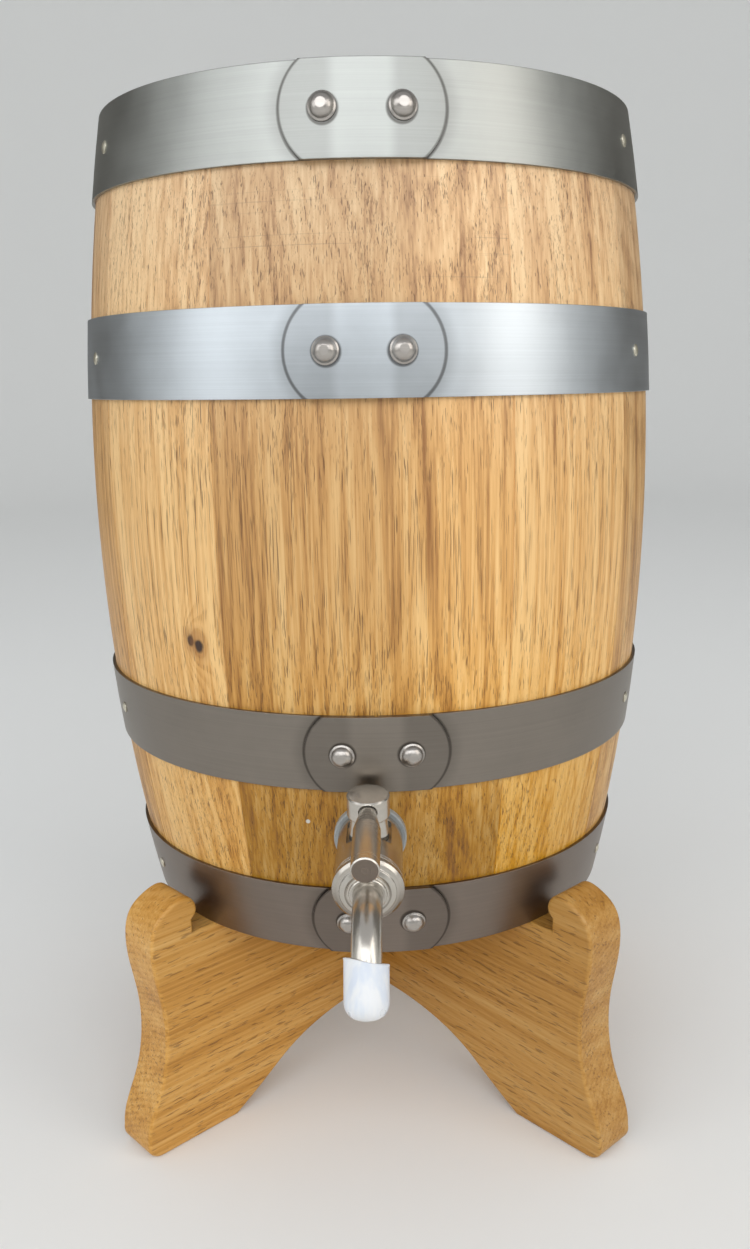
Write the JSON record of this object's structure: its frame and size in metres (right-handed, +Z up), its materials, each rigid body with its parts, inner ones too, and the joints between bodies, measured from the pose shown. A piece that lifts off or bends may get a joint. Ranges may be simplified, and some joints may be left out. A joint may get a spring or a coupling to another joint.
{
  "type": "wine barrel",
  "caption": "Small upright oak wine barrel with steel hoops, a front lever tap with a capped spout and a stand of two crossed boards.",
  "frame": {"origin": "on the ground, under the middle of the whole object's box; the barrel's upright axis is 30.6 mm behind it, at +Y", "axes": "+Z up along the barrel's axis; the tap looks towards -Y; +X to the right when facing the tap"},
  "size_m": [0.2004, 0.2616, 0.349],
  "materials": {
    "oak_staves": "satin varnish",
    "oak_heads": "satin varnish",
    "oak_dowels": "raw",
    "oak_bung": "raw",
    "oak_stand": "satin varnish",
    "hoop_steel": "brushed lengthwise",
    "rivet_steel": "satin",
    "tap_steel": "turned, satin polish",
    "silicone": "milky translucent",
    "seal_rubber": "matte"
  },
  "bodies": {
    "stand": {"stand_board_left": "oak_stand", "stand_board_right": "oak_stand"},
    "barrel": {"stave_01": "oak_staves", "stave_02": "oak_staves", "stave_03": "oak_staves", "stave_04": "oak_staves", "stave_05": "oak_staves", "stave_06": "oak_staves", "stave_07": "oak_staves", "stave_08": "oak_staves", "stave_09": "oak_staves", "stave_10": "oak_staves", "stave_11": "oak_staves", "stave_12": "oak_staves", "head_bottom_front": "oak_heads", "head_bottom_middle": "oak_heads", "head_bottom_back": "oak_heads", "head_top_front": "oak_heads", "head_top_middle": "oak_heads", "head_top_back": "oak_heads", "head_dowels_bottom": "oak_dowels", "head_dowels_top": "oak_dowels", "hoop_bottom": "hoop_steel", "hoop_lower": "hoop_steel", "hoop_upper": "hoop_steel", "hoop_top": "hoop_steel", "hoop_plate_bottom": "hoop_steel", "hoop_plate_lower": "hoop_steel", "hoop_plate_upper": "hoop_steel", "hoop_plate_top": "hoop_steel", "hoop_rivets": "rivet_steel", "hoop_nails": "rivet_steel", "tap_washer": "silicone", "tap_body": "tap_steel", "tap_nose": "tap_steel", "spout_seal": "seal_rubber", "spout_tube": "tap_steel"},
    "bung": {"bung": "oak_bung"},
    "tap_lever": {"tap_lever_hub": "tap_steel", "tap_lever_rod": "tap_steel", "tap_valve_plug": "tap_steel", "valve_orings": "seal_rubber"},
    "spout_cap": {"spout_cap": "silicone"}
  },
  "joints": [
    {"name": "barrel_lift", "type": "slide", "parent": "stand", "child": "barrel", "axis": [0, 0, 1], "range_m": [0, 0.15]},
    {"name": "bung_pull", "type": "slide", "parent": "barrel", "child": "bung", "axis": [0, 0, 1], "range_m": [0, 0.04]},
    {"name": "tap_lever_turn", "type": "hinge", "parent": "barrel", "child": "tap_lever", "pos_m": [0, -0.0753, 0.12651], "axis": [0, -0.1291, 0.9916], "range_deg": [-90, 90]},
    {"name": "spout_cap_pull", "type": "slide", "parent": "barrel", "child": "spout_cap", "axis": [0, -0.4695, -0.8829], "range_m": [0, 0.025]}
  ]
}
